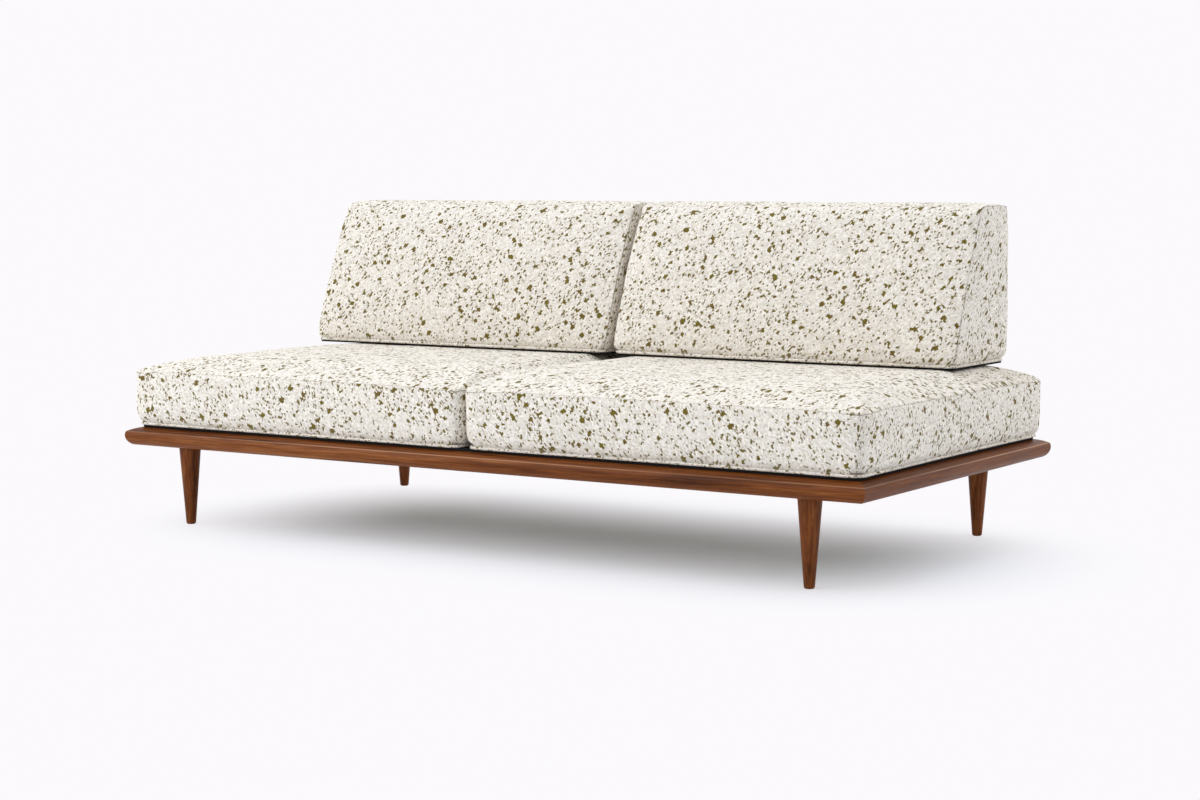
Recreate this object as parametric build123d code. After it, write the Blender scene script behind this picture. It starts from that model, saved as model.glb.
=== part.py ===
from build123d import *
import math
import os

# Platform sofa in millimetres: a mitred bullnose frame on four turned legs, a rebated deck,
# two boxed seat cushions and two wedge bolsters, all loose.
# +X is the right-hand end seen from the front, the front faces -Y and +Z is up.
# The origin is on the floor, under the middle of the frame.

# Frame rails
frame_length = 1900
frame_depth = 930
rail_width = 95
rail_thickness = 42
rebate_width = 25

# Nose of the rails, as depths behind its tip and heights above the rails' underside
nose_depth = 34
nose_crest = (16, 38.2)
arris_top = (3.54, 32.99)
arris_middle = (2.61, 32.38)
arris_foot = (1.87, 31.54)
nose_bend = (0.47, 27.8)
nose_tip_height = 24
nose_foot_depth = 20

# Mitre splines
spline_length = 70
spline_width = 40
spline_thickness = 6
spline_clearance = 0.1
mitre_angle = 45

# Legs
leg_length = 180
leg_top_diameter = 50
leg_foot_diameter = 22
foot_chamfer = 2.5
leg_from_end = 147
leg_from_front = 60

# Leg fixings
bolt_diameter = 8
bolt_in_leg = 35
bolt_in_rail = 16
insert_diameter = 12
insert_length = 18
fixing_clearance = 0.1

# Cross bearers
bearer_width = 45
middle_bearer_width = 70
bearer_height = 20
bearer_spacing = 430
tenon_length = 12
tenon_thickness = 10
tenon_shoulder = 6
tenon_clearance = 0.2

# Deck and its felt
deck_thickness = 18
deck_clearance = 1
felt_thickness = 5
felt_setback = 14
felt_corner = 14

# Deck screws
screw_length = 30
screw_diameter = 4
screw_head_diameter = 8
screw_head_height = 2.5
screw_point = 4
bearer_screw_offset = 180
end_screw_offset = 200

# Cushion covers and their trim
cover_thickness = 2
core_clearance = 0.3
welt_diameter = 7
welt_clearance = 0.3
edge_roll_height = 14
edge_roll_steps = 2
crown_steps = 4
rest_gap = 0.3

# Seat cushions
seat_setback = 13
seat_gap = 4
seat_height = 163
seat_seam_height = 126
seat_crown_reach = 300
seat_corner = 24
seat_draw_in = 4

# Bolsters
bolster_length = 863
bolster_gap = 12
bolster_height = 346
bolster_foot_depth = 289
bolster_top_depth = 151
bolster_from_seat_back = 39
bolster_corner = 16
bolster_draw_in = 4
bolster_front_swell = 8
bolster_plan_swell = 4
bolster_top_roll_height = 24
bolster_top_roll_reach = 36
grip_thickness = 4
grip_setback = 10
grip_corner = 12

# Zips
seat_zip_length = 620
bolster_zip_length = 560
bolster_zip_height = 58
zip_tape_width = 26
zip_tape_thickness = 1
zip_coil_width = 6
zip_coil_depth = 1.6
zip_coil_round = 0.6
zip_stop_length = 3
zip_stop_width = 8
zip_end_margin = 8
slider_length = 14
slider_width = 11
slider_plate = 1.4
slider_gap = 0.3
slider_round = 1
bridge_radius = 3.6
bridge_thickness = 1.3
bridge_width = 3

# Levels and lines that several pieces share
half_length = frame_length / 2
half_depth = frame_depth / 2
rail_top = leg_length + rail_thickness
lip_thickness = rail_thickness - deck_thickness
lip_top = leg_length + lip_thickness
lip_line_x = half_length - rail_width + rebate_width / 2
lip_line_y = half_depth - rail_width + rebate_width / 2
leg_x = half_length - leg_from_end
leg_y = half_depth - leg_from_front
bearer_axis_z = lip_top - bearer_height / 2
seat_base = rail_top + felt_thickness + rest_gap
grip_base = seat_base + seat_height + rest_gap
bolster_base = grip_base + grip_thickness
welt_seat = welt_diameter + welt_clearance
seat_length = half_length - seat_setback - seat_gap / 2
seat_depth = frame_depth - 2 * seat_setback
seat_x = (seat_gap + seat_length) / 2
bolster_x = (bolster_gap + bolster_length) / 2
bolster_back = seat_depth / 2 - bolster_from_seat_back
sides = {"left": -1, "right": 1}
ends = {"front": -1, "rear": 1}
nodes = {}


# Deck screw, head up, with its head face at the origin; the same shape drills its hole
def screw_shape(clearance):
    head = screw_head_diameter / 2 + clearance
    shank = screw_diameter / 2 + clearance
    tip = -screw_length - clearance
    shoulder = screw_point - screw_length
    outline = Polyline(
        (0, 0), (head, 0), (shank, -screw_head_height), (shank, shoulder), (0, tip), close=True
    )
    return revolve(Plane.XZ * make_face(outline), Axis.Z)


screw_spots = []
for side in sides.values():
    for end in ends.values():
        screw_spots += [
            (side * bearer_spacing / 2, end * lip_line_y),
            (side * bearer_spacing * 3 / 2, end * lip_line_y),
            (side * lip_line_x, end * end_screw_offset),
            (side * bearer_spacing, end * bearer_screw_offset),
            (side * middle_bearer_width / 4, end * bearer_screw_offset),
        ]
screws = [Pos(x, y, rail_top) * screw_shape(0) for x, y in screw_spots]
screw_holes = [Pos(x, y, rail_top) * screw_shape(fixing_clearance) for x, y in screw_spots]
nodes["deck_screws"] = screws


# Loose splines across the four mitres, in the thickness below the rebate
def mitre_spline(side, end, clearance):
    from_tip = (nose_depth + rail_width) / 2
    spline = Box(
        spline_length + 2 * clearance,
        spline_width + 2 * clearance,
        spline_thickness + 2 * clearance,
    )
    x = side * (half_length - from_tip)
    y = end * (half_depth - from_tip)
    place = Pos(x, y, leg_length + lip_thickness / 2)
    return place * Rot(0, 0, mitre_angle * side * end) * spline


corners = [(side, end) for side in sides.values() for end in ends.values()]
nodes["mitre_splines"] = [mitre_spline(side, end, 0) for side, end in corners]
spline_slots = [mitre_spline(side, end, spline_clearance) for side, end in corners]


# Turned legs, their hanger bolts and the threaded inserts that take them
def upright(diameter, bottom, top):
    return Pos(0, 0, bottom) * Cylinder(
        diameter / 2, top - bottom, align=(Align.CENTER, Align.CENTER, Align.MIN)
    )


def turned_leg():
    foot = leg_foot_diameter / 2
    outline = Polyline(
        (0, 0),
        (foot - foot_chamfer, 0),
        (foot, foot_chamfer),
        (leg_top_diameter / 2, leg_length),
        (0, leg_length),
        close=True,
    )
    body = revolve(Plane.XZ * make_face(outline), Axis.Z)
    bore_foot = leg_length - bolt_in_leg - fixing_clearance
    return body - upright(bolt_diameter + 2 * fixing_clearance, bore_foot, leg_length)


hanger_bolt = upright(bolt_diameter, leg_length - bolt_in_leg, leg_length + bolt_in_rail)
insert_bore = upright(bolt_diameter + 2 * fixing_clearance, leg_length, leg_length + insert_length)
threaded_insert = upright(insert_diameter, leg_length, leg_length + insert_length) - insert_bore
insert_hole = upright(
    insert_diameter + 2 * fixing_clearance, leg_length, leg_length + insert_length + fixing_clearance
)
leg_spots = {
    f"{end_name}_{side_name}": Pos(side * leg_x, end * leg_y, 0)
    for end_name, end in ends.items()
    for side_name, side in sides.items()
}
for spot_name, spot in leg_spots.items():
    nodes[f"leg_{spot_name}"] = [spot * turned_leg()]
nodes["hanger_bolts"] = [spot * hanger_bolt for spot in leg_spots.values()]
nodes["threaded_inserts"] = [spot * threaded_insert for spot in leg_spots.values()]
insert_holes = [spot * insert_hole for spot in leg_spots.values()]

# Cross bearers with stub tenons, and the mortises for them
bearer_widths = {"left": bearer_width, "middle": middle_bearer_width, "right": bearer_width}
bearer_places = {"left": -bearer_spacing, "middle": 0, "right": bearer_spacing}
bearer_span = frame_depth - 2 * rail_width


def bearer_tenon(width, clearance):
    return Box(
        width - 2 * tenon_shoulder + 2 * clearance,
        bearer_span + 2 * tenon_length + 2 * clearance,
        tenon_thickness + 2 * clearance,
    )


mortises = []
for name, width in bearer_widths.items():
    place = Pos(bearer_places[name], 0, bearer_axis_z)
    bearer = Box(width, bearer_span, bearer_height) + bearer_tenon(width, 0)
    nodes[f"cross_bearer_{name}"] = [place * bearer - screw_holes]
    mortises.append(place * bearer_tenon(width, tenon_clearance))


# Rails: one bullnose section with a rebate for the deck, mitred at both ends.
# The nose falls in a shallow curve to a soft arris, stands out to its tip and turns under.
def rail_section():
    nose_points = [
        (nose_depth, rail_thickness),
        nose_crest,
        arris_top,
        arris_middle,
        arris_foot,
        nose_bend,
        (0, nose_tip_height),
    ]
    curve = [(depth, leg_length + height) for depth, height in nose_points]
    nose = [ThreePointArc(*curve[start : start + 3]) for start in (0, 2, 4)]
    turn_under = EllipticalCenterArc(
        (nose_foot_depth, leg_length + nose_tip_height), nose_foot_depth, nose_tip_height, 180, arc_size=90
    )
    rebate = rail_width - rebate_width
    edge = Polyline(
        (nose_foot_depth, leg_length),
        (rail_width, leg_length),
        (rail_width, lip_top),
        (rebate, lip_top),
        (rebate, rail_top),
        (nose_depth, rail_top),
    )
    return Plane.YZ * make_face([*nose, turn_under, edge])


def mitred_rail(length):
    bar = extrude(rail_section(), length / 2, both=True)
    plan = Polyline(
        (-length / 2, 0),
        (length / 2, 0),
        (length / 2 - rail_width, rail_width),
        (rail_width - length / 2, rail_width),
        close=True,
    )
    return bar & extrude(make_face(plan), rail_top)


rail_cuts = spline_slots + insert_holes + mortises + screw_holes
rails = {
    "front": Pos(0, -half_depth, 0) * mitred_rail(frame_length),
    "rear": Rot(0, 0, 180) * Pos(0, -half_depth, 0) * mitred_rail(frame_length),
    "left": Rot(0, 0, -90) * Pos(0, -half_length, 0) * mitred_rail(frame_depth),
    "right": Rot(0, 0, 90) * Pos(0, -half_length, 0) * mitred_rail(frame_depth),
}
for name, rail in rails.items():
    nodes[f"{name}_rail"] = [rail - rail_cuts]

# Plywood deck panels let into the rebate, meeting over the middle bearer
deck_length = half_length - rail_width + rebate_width - 3 * deck_clearance / 2
deck_depth = frame_depth - 2 * (rail_width - rebate_width + deck_clearance)
for name, side in sides.items():
    place = Pos(side * (deck_clearance + deck_length) / 2, 0, rail_top - deck_thickness / 2)
    panel = place * Box(deck_length, deck_depth, deck_thickness)
    nodes[f"deck_panel_{name}"] = [panel - screw_holes]

# Black felt over deck and rails, set back from the cushions' edges
felt_plan = RectangleRounded(
    frame_length - 2 * (seat_setback + felt_setback),
    seat_depth - 2 * felt_setback,
    felt_corner,
)
nodes["deck_felt"] = [Pos(0, 0, rail_top) * extrude(felt_plan, felt_thickness)]


# Cushion outline in plan: a straight back, and three sides that pull in, or swell, between the corners
def cushion_outline(length, front, back, corner, draw_in, front_draw_in):
    x = length / 2
    middle = (front + back) / 2
    edges = [
        ThreePointArc((-x, front), (0, front + front_draw_in), (x, front)),
        ThreePointArc((x, front), (x - draw_in, middle), (x, back)),
        Line((x, back), (-x, back)),
        ThreePointArc((-x, back), (draw_in - x, middle), (-x, front)),
    ]
    return fillet(make_face(edges).vertices(), corner)


# Quarter of an ellipse as steps of (share of the reach, share of the rise)
def quarter_steps(count):
    turns = [math.radians(90 * step / count) for step in range(count + 1)]
    return [(1 - math.cos(turn), math.sin(turn)) for turn in turns]


# Cushion body from its foot up: a straight foot behind the welt, a rolled edge, the walls and a crowned top,
# which is lofted two steps at a time because a longer loft bulges past its last outline.
# level(z, inset) gives its outline at a height, and skin is how far inside the cover the body lies.
def cushion_body(level, skin, wall_top, top, crown_reach, wall_heights):
    inset = welt_seat + skin
    wall_foot = welt_seat + edge_roll_height
    roll = [
        level(welt_seat + reach * edge_roll_height, inset - rise * welt_seat)
        for reach, rise in quarter_steps(edge_roll_steps)
    ]
    crown = [
        level(wall_top + rise * (top - skin - wall_top), skin + reach * crown_reach)
        for reach, rise in quarter_steps(crown_steps)
    ]
    walls = [level(z, skin) for z in [wall_foot, *wall_heights, wall_top]]
    foot = [level(skin, inset), level(welt_seat, inset)]
    body = loft(foot) + loft(roll) + loft(walls)
    for step in range(0, crown_steps, 2):
        body += loft(crown[step : step + 3])
    return body


def seat_level(z, inset):
    front = -seat_depth / 2 + inset
    outline = cushion_outline(
        seat_length - 2 * inset, front, -front, seat_corner, seat_draw_in, seat_draw_in
    )
    return Pos(0, 0, z) * outline


def seat_body(skin):
    return cushion_body(seat_level, skin, seat_seam_height, seat_height, seat_crown_reach, [])


# Bolster: upright back, front that leans back as it rises and swells at half height
def bolster_level(z, inset):
    lean = (bolster_foot_depth - bolster_top_depth) * z / bolster_height
    swell = bolster_front_swell * math.sin(math.pi * z / bolster_height)
    front = bolster_back - bolster_foot_depth + lean - swell + inset
    outline = cushion_outline(
        bolster_length - 2 * inset,
        front,
        bolster_back - inset,
        bolster_corner,
        bolster_draw_in,
        -bolster_plan_swell,
    )
    return Pos(0, 0, z) * outline


def bolster_body(skin):
    wall_top = bolster_height - bolster_top_roll_height
    middle = bolster_height / 2
    return cushion_body(bolster_level, skin, wall_top, bolster_height, bolster_top_roll_reach, [middle])


# Welt round the foot of a cushion, lying in the step of its cover
def foot_welt(level):
    path = level(welt_diameter / 2, welt_diameter / 2).face().outer_wire()
    return sweep(Plane(path ^ 0) * Circle(welt_diameter / 2), path=path)


# Zip on a cushion's back: tape, coil and end stops, drawn at the origin with +Y away from the cover
def zip_chain(length):
    tape = Pos(0, zip_tape_thickness / 2, 0) * Box(length, zip_tape_thickness, zip_tape_width)
    coil_y = zip_tape_thickness + zip_coil_depth / 2
    coil = Box(length - 2 * zip_end_margin, zip_coil_depth, zip_coil_width)
    coil = fillet(coil.faces().sort_by(Axis.Y)[-1].edges().filter_by(Axis.X), zip_coil_round)
    chain = tape + Pos(0, coil_y, 0) * coil
    for side in sides.values():
        stop_x = side * (length / 2 - zip_end_margin - zip_stop_length / 2)
        chain += Pos(stop_x, coil_y, 0) * Box(zip_stop_length, zip_coil_depth, zip_stop_width)
    return chain


# Zip slider at the closed end, straddling the coil, with a fixed bridge to pull on
def zip_slider(length):
    foot_y = zip_tape_thickness + slider_gap
    roof_y = zip_tape_thickness + zip_coil_depth + slider_gap
    top_y = roof_y + slider_plate
    block = Pos(0, (foot_y + top_y) / 2, 0) * Box(slider_length, top_y - foot_y, slider_width)
    block = fillet(block.edges().filter_by(Axis.Y), slider_round)
    channel = Pos(0, (foot_y + roof_y) / 2, 0) * Box(
        slider_length, roof_y - foot_y, zip_coil_width + 2 * slider_gap
    )
    ring = Circle(bridge_radius) - Circle(bridge_radius - bridge_thickness)
    half_plane = Pos(0, bridge_radius / 2) * Rectangle(2 * bridge_radius, bridge_radius)
    bridge = Pos(0, top_y, 0) * extrude(ring & half_plane, bridge_width / 2, both=True)
    closed_x = -length / 2 + zip_end_margin + zip_stop_length + slider_gap + slider_length / 2
    return Pos(closed_x, 0, 0) * (block - channel + bridge)


# Four covers with their cores, welts and zips
def add_cushion(name, place, body, level, zip_length, zip_place):
    nodes[f"{name}_cover"] = [place * (body(0) - body(cover_thickness))]
    nodes[f"{name}_core"] = [place * body(cover_thickness + core_clearance)]
    nodes[f"{name}_welt"] = [place * foot_welt(level)]
    nodes[f"{name}_zip"] = [place * zip_place * zip_chain(zip_length)]
    nodes[f"{name}_zip_slider"] = [place * zip_place * zip_slider(zip_length)]


seat_zip_height = (welt_seat + edge_roll_height + seat_seam_height) / 2
for name, side in sides.items():
    add_cushion(
        f"seat_{name}",
        Pos(side * seat_x, 0, seat_base),
        seat_body,
        seat_level,
        seat_zip_length,
        Pos(0, seat_depth / 2, seat_zip_height),
    )
    add_cushion(
        f"bolster_{name}",
        Pos(side * bolster_x, 0, bolster_base),
        bolster_body,
        bolster_level,
        bolster_zip_length,
        Pos(0, bolster_back, bolster_zip_height),
    )

# Black felt grip under each bolster, set back from its edges
grip_plan = RectangleRounded(
    bolster_length - 2 * grip_setback, bolster_foot_depth - 2 * grip_setback, grip_corner
)
grip_y = bolster_back - bolster_foot_depth / 2
for name, side in sides.items():
    place = Pos(side * bolster_x, grip_y, grip_base)
    nodes[f"bolster_{name}_grip"] = [place * extrude(grip_plan, grip_thickness)]

# One STEP file for each node
os.makedirs("parts", exist_ok=True)
for name, pieces in nodes.items():
    solids = [solid for piece in pieces for solid in piece.solids()]
    export_step(Compound(children=solids) if len(solids) > 1 else solids[0], f"parts/{name}.step")
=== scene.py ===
import math

import bpy
import numpy as np
from bpy.props import FloatProperty, FloatVectorProperty, IntProperty, PointerProperty
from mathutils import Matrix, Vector


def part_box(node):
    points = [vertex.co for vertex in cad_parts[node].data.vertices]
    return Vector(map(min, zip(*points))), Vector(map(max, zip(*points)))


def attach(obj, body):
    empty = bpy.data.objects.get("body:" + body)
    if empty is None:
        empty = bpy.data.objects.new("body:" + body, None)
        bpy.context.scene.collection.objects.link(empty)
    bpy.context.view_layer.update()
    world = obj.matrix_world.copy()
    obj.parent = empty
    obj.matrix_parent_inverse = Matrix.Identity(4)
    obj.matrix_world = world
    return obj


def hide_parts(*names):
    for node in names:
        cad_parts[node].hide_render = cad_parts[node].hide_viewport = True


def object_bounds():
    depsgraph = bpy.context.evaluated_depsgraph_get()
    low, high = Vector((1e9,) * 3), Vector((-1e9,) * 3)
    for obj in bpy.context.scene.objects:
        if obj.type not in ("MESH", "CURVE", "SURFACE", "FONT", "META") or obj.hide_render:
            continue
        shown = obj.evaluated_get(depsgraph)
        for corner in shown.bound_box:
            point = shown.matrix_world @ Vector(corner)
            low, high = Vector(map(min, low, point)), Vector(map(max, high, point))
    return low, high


bl_info = {
    "name": "Platform sofa",
    "version": (1, 0, 0),
    "blender": (4, 5, 0),
    "location": "3D View > Sidebar > Sofa",
    "description": "Dresses the packed platform sofa: cushions, welts, seams, zips, walnut and a plain stage",
    "category": "Object",
}

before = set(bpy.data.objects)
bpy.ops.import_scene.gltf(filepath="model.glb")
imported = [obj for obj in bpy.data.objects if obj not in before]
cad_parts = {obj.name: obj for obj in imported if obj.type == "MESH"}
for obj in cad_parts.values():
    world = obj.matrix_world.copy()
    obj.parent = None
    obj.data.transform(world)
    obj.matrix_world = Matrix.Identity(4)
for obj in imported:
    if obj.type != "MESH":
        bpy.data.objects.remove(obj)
cad_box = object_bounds()

SIDES = ("left", "right")
OUTWARD = {"left": -1, "right": 1}
CUSHIONS = [f"{kind}_{side}" for kind in ("seat", "bolster") for side in SIDES]
FULL_TURN = 2 * math.pi
TINY = 1e-6

# Half spans of the rail frame, and the arris of its nose: distance in from the outline and height
RAIL_HALVES = tuple(cad_box[1])[:2]
ARRIS = (0.0026, 0.2124)


# Sizes and colours that a user would change

def maker(kind, **facts):
    """A maker of like properties, which differ in their label, description and default"""
    def made(label, text, default):
        return kind(name=label, description=text, default=default, **facts)

    return made


length = maker(FloatProperty, unit="LENGTH", precision=4)
share = maker(FloatProperty, min=0, max=1, subtype="FACTOR")
amount = maker(FloatProperty, min=0)
whole = maker(IntProperty, min=2)
angle = maker(FloatProperty, subtype="ANGLE")
focus = maker(FloatProperty, unit="CAMERA")
colour = maker(FloatVectorProperty, size=3, min=0, max=1, subtype="COLOR")
place = maker(FloatVectorProperty, size=3, subtype="XYZ", unit="LENGTH")


class SofaSeatSettings(bpy.types.PropertyGroup):
    """Shape of the two boxed seat cushions"""

    seam_height: length("Seam height", "Height of the seam along the top edge", 0.126)
    crown_reach: length("Crown reach", "How far in from its free sides the top levels out", 0.300)
    firm_reach: length("Firm reach", "The same at the right seat's end, which is filled more firmly", 0.115)
    back_reach: length("Back reach", "The same along the right seat's back", 0.180)
    inner_reach: length("Inner reach", "The same where the two seats meet", 0.036)
    corner_round: length("Corner rounding", "Radius of the upright corners", 0.024)
    draw_in: length("Draw in", "How far the sides pull in between the corners", 0.004)
    droop: length("Droop", "How much lower the seam lies at the corners", 0.005)
    droop_reach: length("Droop reach", "How far from a corner the seam is drawn down", 0.090)
    slack: length("Slack", "How much lower the left seat lies at its softer back corner", 0.009)
    slack_reach: length("Slack reach", "How far that softer filling reaches", 0.340)
    swell: length("Swell", "Most that the filling moves the cover", 0.009)
    settle: length("Settle", "How much lower the top starts before it is filled", 0.005)


class SofaBolsterSettings(bpy.types.PropertyGroup):
    """Shape of the two wedge bolsters"""

    foot_depth: length("Foot depth", "Depth of the wedge where it stands on the seat", 0.289)
    top_depth: length("Top depth", "Depth of the wedge along its top", 0.151)
    end_round: length("End rounding", "Radius of the edges round the end panels", 0.011)
    top_round: length("Top rounding", "Height of the soft roll along the top", 0.014)
    top_reach: length("Top reach", "Depth of the soft roll along the top", 0.034)
    front_swell: length("Front swell", "How far the front stands out at half height", 0.008)
    draw_in: length("Draw in", "How far the ends pull in between the corners", 0.004)
    swell: length("Swell", "Most that the filling moves the cover", 0.010)


class SofaSewingSettings(bpy.types.PropertyGroup):
    """Cover mesh, seams, welts and stitches of all four cushions"""

    step: length("Mesh step", "Spacing of the cover's mesh away from its edges", 0.018)
    welt: length("Welt", "Diameter of the welt round the foot of a cushion", 0.007)
    welt_inset: length("Welt inset", "How far the welt lies in from the cushion's outline", 0.0040)
    foot_roll: length("Foot roll", "Height of the rolled edge above the welt", 0.014)
    corner_tuck: share("Corner tuck", "How much more the foot is tucked in at the upright corners", 1.0)
    welt_bend: length("Welt bend", "How softly the welt goes round the corners", 0.014)
    groove: length("Seam groove", "How deep the stitching pulls a seam in", 0.0016)
    unevenness: length("Unevenness", "Hand-made unevenness of the filled covers", 0.0008)
    corner_hold: length("Corner hold", "How far from an upright corner the filling moves less", 0.060)
    corner_swell: length("Corner swell", "Most that the filling moves an upright corner", 0.0012)
    pressure: amount("Filling pressure", "Pressure that swells the covers", 4.0)
    frames: whole("Filling frames", "Frames over which the covers swell", 20)
    stitch_pitch: length("Stitch pitch", "Spacing of the stitches along a seam", 0.0042)


class SofaWeaveSettings(bpy.types.PropertyGroup):
    """Flecked cream weave of the covers"""

    cream: colour("Cream", "Main yarn", (0.902, 0.848, 0.778))
    sand: colour("Sand", "Faint specks in the main yarn", (0.60, 0.51, 0.34))
    olive: colour("Olive", "Greener flecks", (0.176, 0.138, 0.022))
    umber: colour("Umber", "Browner flecks", (0.172, 0.118, 0.026))
    yarn: length("Yarn pitch", "Spacing of the slanted slubs", 0.0034)
    blot: length("Blot spacing", "Grid on which the large flecks are scattered", 0.034)
    fleck: length("Fleck spacing", "Grid on which the middling flecks are scattered", 0.016)
    slant: angle("Slant", "Direction in which the slubs lie", math.radians(52))
    slub_length: amount("Slub length", "Length of a slub in yarn pitches", 1.30)
    slub_width: amount("Slub width", "Width of a slub in yarn pitches", 0.88)


class SofaWalnutSettings(bpy.types.PropertyGroup):
    """Oiled walnut of the rails and legs"""

    dark: colour("Dark", "Late wood and pores", (0.058, 0.0145, 0.0032))
    middle: colour("Middle", "Main tone", (0.182, 0.0500, 0.0095))
    pale: colour("Pale", "Early wood", (0.320, 0.112, 0.032))
    # Painted highlight: this paler tone along the rails' arris stands in for a glint of light, not worn oil
    arris_highlight: colour("Rubbed", "Arris of the rails, where the oil has worn", (0.46, 0.250, 0.150))
    # Painted shade: the end rails' boards are darkened because they face away from the light
    end_rail_painted_shade: share("End shade", "How much darker the end rails' boards are", 0.30)
    roughness: share("Roughness", "Roughness of the oiled surface", 0.38)


class SofaStageSettings(bpy.types.PropertyGroup):
    """Camera, light and floor"""

    camera_place: place("Camera place", "Where the camera stands", (2.8658, -4.3874, 0.7847))
    camera_tilt: angle("Camera tilt", "How far the camera looks down", math.radians(5.33))
    camera_turn: angle("Camera turn", "How far the camera turns to its left", math.radians(32.59))
    lens: focus("Lens", "Focal length on a 36 mm sensor", 69.73)
    backdrop: colour("Backdrop", "What is seen past the lit floor", (0.968, 0.951, 0.977))
    floor: colour("Floor", "Floor round the sofa", (0.85, 0.868, 0.90))
    # Painted light: a cooler floor colour where the shadow lies, standing in for cooler light that offsets
    # the warm bounce off the wood
    painted_cool_floor: colour("Shaded floor", "Floor under the warm wood", (0.83, 0.90, 0.98))
    sky: amount("Surroundings", "Light from all round", 1.17)
    dark_side: share("Dark side", "Share of that light from the side of the room behind the camera", 0.2)
    overhead: amount("Overhead light", "Power of the large light above", 33.5)
    front: amount("Front light", "Power of the light from the front left", 56)
    back: amount("Back light", "Power of the low light behind", 6)
    end: amount("End light", "Power of the light at the right-hand end", 5)


SETTINGS = {
    "sofa_seat": SofaSeatSettings,
    "sofa_bolster": SofaBolsterSettings,
    "sofa_sewing": SofaSewingSettings,
    "sofa_weave": SofaWeaveSettings,
    "sofa_walnut": SofaWalnutSettings,
    "sofa_stage": SofaStageSettings,
}


# Finishes

class Nodes:
    """A node tree with short calls for the nodes that the finishes and the surroundings share"""

    def __init__(self, tree):
        self.tree = tree

    def put(self, socket, value):
        if isinstance(value, bpy.types.NodeSocket):
            self.tree.links.new(value, socket)
        elif isinstance(socket, bpy.types.NodeSocketColor) and len(value) == 3:
            socket.default_value = (*value, 1)
        else:
            socket.default_value = value

    def node(self, kind, sockets=None, **options):
        made = self.tree.nodes.new(f"ShaderNode{kind}")
        for option, value in options.items():
            setattr(made, option, value)
        for socket, value in (sockets or {}).items():
            self.put(made.inputs[socket], value)
        return made

    def math(self, operation, a, b=0.0):
        return self.node("Math", {0: a, 1: b}, operation=operation).outputs[0]

    def total(self, *terms):
        """Sum of the terms, each a value and its weight"""
        found = 0.0
        for value, weight in terms:
            found = self.node("Math", {0: value, 1: weight, 2: found}, operation="MULTIPLY_ADD").outputs[0]
        return found

    def distance(self, a, b):
        """How far two offsets at right angles reach together"""
        return self.math("SQRT", self.math("ADD", self.math("MULTIPLY", a, a), self.math("MULTIPLY", b, b)))

    def wave(self, value, pitch):
        return self.math("SINE", self.math("MULTIPLY", value, FULL_TURN / pitch))

    def mix(self, factor, a, b, blend="MIX"):
        return self.node("Mix", {0: factor, 6: a, 7: b}, data_type="RGBA", blend_type=blend).outputs[2]

    def toned(self, factor, tone, low, high):
        """The tone times a share between low and high"""
        return self.mix(factor, [low * c for c in tone], [high * c for c in tone])

    def shaders(self, factor, a, b):
        return self.node("MixShader", {0: factor, 1: a, 2: b}).outputs[0]

    def spot(self):
        return self.node("TexCoord").outputs["Object"]

    def noise(self, vector, scale, detail=2.0, roughness=0.5, distortion=0.0, output=0):
        sockets = {"Vector": vector, "Scale": scale, "Detail": detail, "Roughness": roughness}
        return self.node("TexNoise", {**sockets, "Distortion": distortion}).outputs[output]

    def cells(self, vector, spacing, randomness=1.0):
        """Cells of a loose grid, and the random draws that each cell holds"""
        sockets = {"Vector": vector, "Scale": 1 / spacing, "Randomness": randomness}
        cells = self.node("TexVoronoi", sockets, voronoi_dimensions="2D").outputs
        return cells, self.node("SeparateColor", {0: cells["Color"]}).outputs

    def spots(self, vector, spacing, rarity, smallest, largest):
        """Scattered roundish spots: some cells of a loose grid hold one each, of its own size"""
        cells, draw = self.cells(vector, spacing)
        radius = self.fade(draw[1], 0.0, 1.0, smallest / spacing, largest / spacing)
        radius = self.math("MULTIPLY", radius, self.math("GREATER_THAN", draw[0], rarity))
        return self.math("LESS_THAN", cells["Distance"], radius)

    def fade(self, value, start, end, low=0.0, high=1.0):
        sockets = {"Value": value, "From Min": start, "From Max": end, "To Min": low, "To Max": high}
        return self.node("MapRange", sockets, interpolation_type="SMOOTHSTEP").outputs[0]

    def ramp(self, factor, stops):
        made = self.node("ValToRGB", {0: factor})
        elements = made.color_ramp.elements
        while len(elements) < len(stops):
            elements.new(1.0)
        for element, (position, tone) in zip(elements, stops):
            element.position = position
            element.color = (*tone, 1)
        return made.outputs[0]

    def turned(self, vector, turn, scale, shift=(0, 0, 0)):
        sockets = {"Vector": vector, "Location": shift, "Rotation": (0, 0, turn), "Scale": scale}
        return self.node("Mapping", sockets, vector_type="TEXTURE").outputs[0]

    def vector(self, operation, a, b, socket=1):
        return self.node("VectorMath", {0: a, socket: b}, operation=operation).outputs

    def shaken(self, vector, scale, reach):
        centred = self.vector("SUBTRACT", self.noise(vector, scale, output=1), (0.5, 0.5, 0.5))[0]
        return self.vector("ADD", vector, self.vector("SCALE", centred, reach, "Scale")[0])[0]

    def part(self, vector, index):
        return self.node("SeparateXYZ", {0: vector}).outputs[index]

    def bump(self, height, distance, strength=1.0):
        return self.node("Bump", {"Height": height, "Distance": distance, "Strength": strength}).outputs[0]

    def seen_plainly(self):
        """One for rays that show the background itself: straight to the camera, in gloss or through glass"""
        rays = self.node("LightPath").outputs
        seen = rays["Is Camera Ray"]
        for kind in ("Is Glossy Ray", "Is Transmission Ray"):
            seen = self.math("MAXIMUM", seen, rays[kind])
        return seen


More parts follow.
